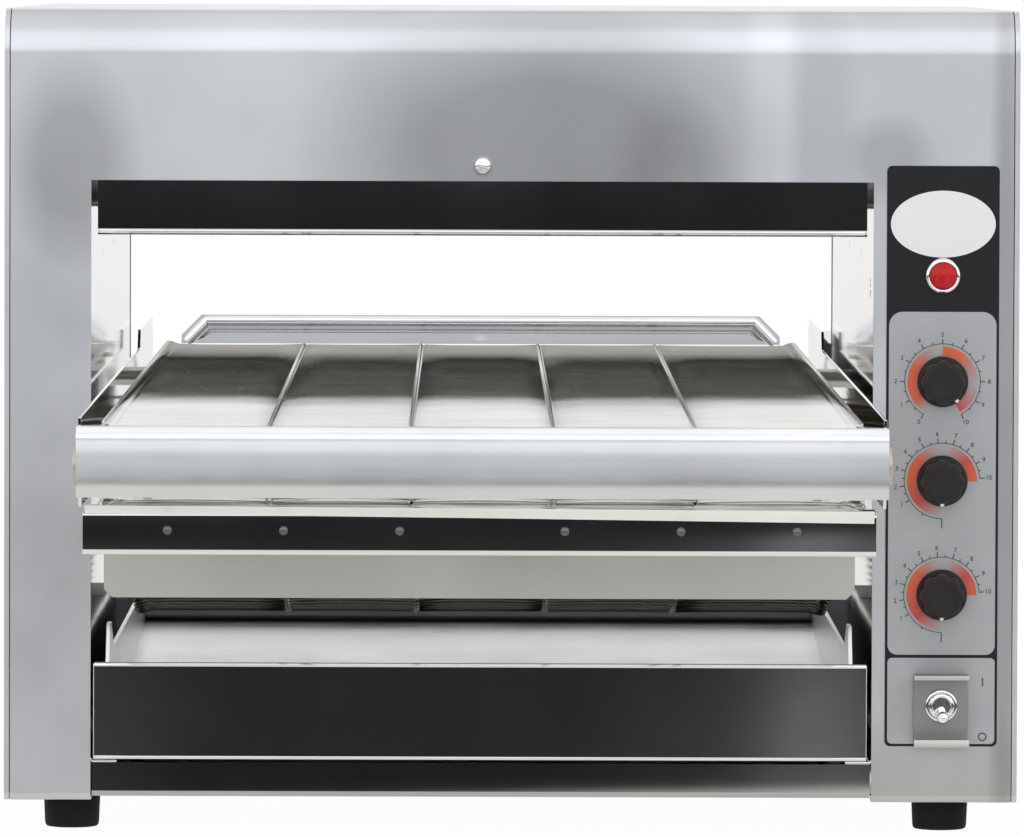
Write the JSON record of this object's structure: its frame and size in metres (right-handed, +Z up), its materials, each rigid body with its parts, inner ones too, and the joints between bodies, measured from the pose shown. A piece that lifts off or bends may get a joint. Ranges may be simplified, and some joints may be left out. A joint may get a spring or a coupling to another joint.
{
  "type": "countertop conveyor pizza oven",
  "caption": "Stainless pass-through conveyor pizza oven with a wire belt, adjustable baffles, crumb tray drawer, heat and speed knobs and a power toggle.",
  "frame": {"origin": "on the counter, under the middle of the overall box", "axes": "+Z up; -Y is the front, where the loading end of the belt and the controls face the user; +X is the user's right, the control side"},
  "size_m": [0.48, 1.041, 0.39],
  "materials": {
    "satin_steel": "satin, fine vertical grain",
    "mirror_steel": "bright mirror-polished stainless",
    "plain_steel": "plain mill finish",
    "belt_wire": "drawn stainless wire",
    "element_sheath": "heat-darkened tube",
    "bronze": "sintered bushing",
    "foot_rubber": "matte",
    "mineral_wool": "fibrous",
    "label_film": "printed polyester overlay",
    "chrome_trim": "polished plating",
    "red_lens": "glossy translucent",
    "knob_black": "moulded satin",
    "control_case": "plated",
    "motor_paint": "semi-gloss",
    "black_plastic": "moulded"
  },
  "bodies": {
    "oven": {"body_wrap": "satin_steel", "side_panel_left": "satin_steel", "side_panel_right": "satin_steel", "base_pan": "mirror_steel", "foot_front_left": "foot_rubber", "foot_front_right": "foot_rubber", "foot_rear_left": "foot_rubber", "foot_rear_right": "foot_rubber", "inner_wall_left": "mirror_steel", "inner_wall_right": "mirror_steel", "top_reflector": "mirror_steel", "top_insulation": "mineral_wool", "top_element_1": "element_sheath", "top_element_2": "element_sheath", "baffle_screw": "mirror_steel", "lower_reflector": "mirror_steel", "bottom_element_1": "element_sheath", "bottom_element_2": "element_sheath", "lower_guard": "plain_steel", "side_rail_left": "mirror_steel", "side_rail_right": "mirror_steel", "return_rod_front": "plain_steel", "return_rod_rear": "plain_steel", "crossbar_front": "plain_steel", "crossbar_rear": "plain_steel", "belt_rod_1": "plain_steel", "belt_rod_2": "plain_steel", "bearing_front_left": "bronze", "bearing_front_right": "bronze", "bearing_rear_left": "bronze", "bearing_rear_right": "bronze", "conveyor_belt": "belt_wire", "nose_cover": "satin_steel", "under_guard": "mirror_steel", "exit_tray": "mirror_steel", "drive_chain": "plain_steel", "gear_motor": "motor_paint", "chain_guard": "satin_steel", "control_label": "label_film", "lamp_bezel": "chrome_trim", "lamp_lens": "red_lens", "speed_control": "control_case", "top_heat_control": "control_case", "bottom_heat_control": "control_case", "toggle_guard": "satin_steel", "toggle_body": "chrome_trim", "fan_frame": "black_plastic", "cable_gland": "black_plastic"},
    "crumb_tray": {"crumb_tray": "mirror_steel"},
    "front_baffle": {"front_baffle": "mirror_steel"},
    "rear_baffle": {"rear_baffle": "mirror_steel"},
    "speed_knob": {"speed_knob": "knob_black"},
    "top_heat_knob": {"top_heat_knob": "knob_black"},
    "bottom_heat_knob": {"bottom_heat_knob": "knob_black"},
    "toggle_lever": {"toggle_lever": "chrome_trim"},
    "drive_shaft": {"drive_shaft": "plain_steel", "shaft_sprocket": "plain_steel"},
    "idler_shaft": {"idler_shaft": "plain_steel"},
    "motor_sprocket": {"motor_sprocket": "plain_steel"},
    "fan_rotor": {"fan_rotor": "black_plastic"}
  },
  "joints": [
    {"name": "crumb_tray_slide", "type": "slide", "parent": "oven", "child": "crumb_tray", "axis": [0, -1, 0], "range_m": [0, 0.42]},
    {"name": "front_baffle_height", "type": "slide", "parent": "oven", "child": "front_baffle", "axis": [0, 0, 1], "range_m": [-0.026, 0.004]},
    {"name": "rear_baffle_height", "type": "slide", "parent": "oven", "child": "rear_baffle", "axis": [0, 0, 1], "range_m": [-0.026, 0.004]},
    {"name": "speed_knob_turn", "type": "hinge", "parent": "oven", "child": "speed_knob", "pos_m": [0.2038, -0.2535, 0.215], "axis": [0, 1, 0], "range_deg": [-290, 10]},
    {"name": "top_heat_knob_turn", "type": "hinge", "parent": "oven", "child": "top_heat_knob", "pos_m": [0.2038, -0.2535, 0.168], "axis": [0, 1, 0], "range_deg": [0, 270]},
    {"name": "bottom_heat_knob_turn", "type": "hinge", "parent": "oven", "child": "bottom_heat_knob", "pos_m": [0.2038, -0.2535, 0.114], "axis": [0, 1, 0], "range_deg": [0, 270]},
    {"name": "toggle_lever_flip", "type": "hinge", "parent": "oven", "child": "toggle_lever", "pos_m": [0.2038, -0.2455, 0.0615], "axis": [-1, 0, 0], "range_deg": [0, 26]},
    {"name": "drive_shaft_spin", "type": "hinge", "parent": "oven", "child": "drive_shaft", "pos_m": [0, 0.478, 0.187], "axis": [1, 0, 0], "continuous": true},
    {"name": "idler_shaft_spin", "type": "hinge", "parent": "oven", "child": "idler_shaft", "pos_m": [0, -0.5, 0.187], "axis": [1, 0, 0], "continuous": true},
    {"name": "motor_sprocket_spin", "type": "hinge", "parent": "oven", "child": "motor_sprocket", "pos_m": [0.18, 0.255, 0.187], "axis": [1, 0, 0], "continuous": true},
    {"name": "fan_spin", "type": "hinge", "parent": "oven", "child": "fan_rotor", "pos_m": [0.205, 0.31, 0.075], "axis": [0, 1, 0], "continuous": true}
  ],
  "couplings": [
    {"joint": "idler_shaft_spin", "follows": "drive_shaft_spin", "ratio": 1},
    {"joint": "motor_sprocket_spin", "follows": "drive_shaft_spin", "ratio": 1.25}
  ]
}
